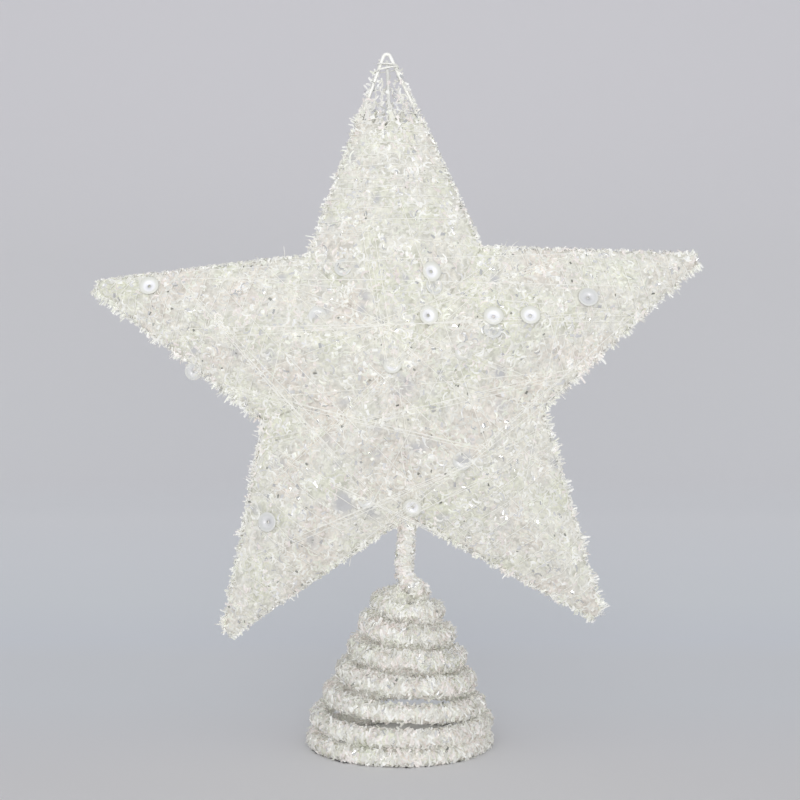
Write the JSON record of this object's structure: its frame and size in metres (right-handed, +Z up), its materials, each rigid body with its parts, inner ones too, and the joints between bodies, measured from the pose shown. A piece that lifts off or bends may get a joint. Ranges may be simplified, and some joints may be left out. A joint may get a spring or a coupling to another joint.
{
  "type": "tree topper",
  "caption": "Hollow wire star covered with tinsel web and thread, on a short bendable stem above a conical spring coil that slips over a tree's top shoot.",
  "frame": {"origin": "on the floor, on the axis of the coil's bottom turn", "axes": "+Z up; the star faces -Y; +X is to the right as its front is looked at"},
  "size_m": [0.2442, 0.0738, 0.2803],
  "materials": {
    "frame_wire": "white lacquered steel wire, satin",
    "coil_wire": "bare drawn steel wire under the tinsel",
    "tinsel_web": "matted web of white yarn and short iridescent film strips, sparkling",
    "tinsel_sleeve": "tinsel cord of white and clear film strips, sparkling",
    "thread": "bright white wound thread",
    "sequin": "cupped pearl film, glossy"
  },
  "bodies": {
    "coil_base": {"base_coil_sleeve": "tinsel_sleeve", "base_coil_wire": "coil_wire"},
    "coil_spring": {"spring_coil_sleeve": "tinsel_sleeve", "spring_coil_wire": "coil_wire"},
    "stem": {"stem_sleeve": "tinsel_sleeve", "stem_wire": "coil_wire"},
    "star": {"outline_wire_top": "frame_wire", "outline_wire_left": "frame_wire", "outline_wire_lower_left": "frame_wire", "outline_wire_lower_right": "frame_wire", "outline_wire_right": "frame_wire", "front_ridge_wire_top": "frame_wire", "front_ridge_wire_left": "frame_wire", "front_ridge_wire_lower_left": "frame_wire", "front_ridge_wire_lower_right": "frame_wire", "front_ridge_wire_right": "frame_wire", "rear_ridge_wire_top": "frame_wire", "rear_ridge_wire_left": "frame_wire", "rear_ridge_wire_lower_left": "frame_wire", "rear_ridge_wire_lower_right": "frame_wire", "rear_ridge_wire_right": "frame_wire", "front_hub_weld": "frame_wire", "rear_hub_weld": "frame_wire", "front_web_top": "tinsel_web", "front_web_left": "tinsel_web", "front_web_lower_left": "tinsel_web", "front_web_lower_right": "tinsel_web", "front_web_right": "tinsel_web", "rear_web_top": "tinsel_web", "rear_web_left": "tinsel_web", "rear_web_lower_left": "tinsel_web", "rear_web_lower_right": "tinsel_web", "rear_web_right": "tinsel_web", "thread_top": "thread", "thread_left": "thread", "thread_lower_left": "thread", "thread_lower_right": "thread", "thread_right": "thread", "front_sequin_1": "sequin", "front_sequin_2": "sequin", "front_sequin_3": "sequin", "front_sequin_4": "sequin", "front_sequin_5": "sequin", "front_sequin_6": "sequin", "front_sequin_7": "sequin", "front_sequin_8": "sequin", "rear_sequin_1": "sequin", "rear_sequin_2": "sequin", "rear_sequin_3": "sequin", "rear_sequin_4": "sequin", "rear_sequin_5": "sequin"}
  },
  "joints": [
    {"name": "coil_compress", "type": "slide", "parent": "coil_base", "child": "coil_spring", "axis": [0, 0, 1], "range_m": [-0.015, 0.012], "stiffness_N_per_m": 600, "springref_m": 0.001, "deforming": ["spring_coil_sleeve", "spring_coil_wire"]},
    {"name": "star_nod", "type": "hinge", "parent": "coil_spring", "child": "stem", "pos_m": [0.0018, -0.002, 0.0695], "axis": [1, 0, 0], "range_deg": [-15, 15], "deforming": ["stem_sleeve", "stem_wire"]},
    {"name": "star_lean", "type": "hinge", "parent": "stem", "child": "star", "pos_m": [0.0024, -0.001, 0.082], "axis": [0, 1, 0], "range_deg": [-20, 20]}
  ]
}
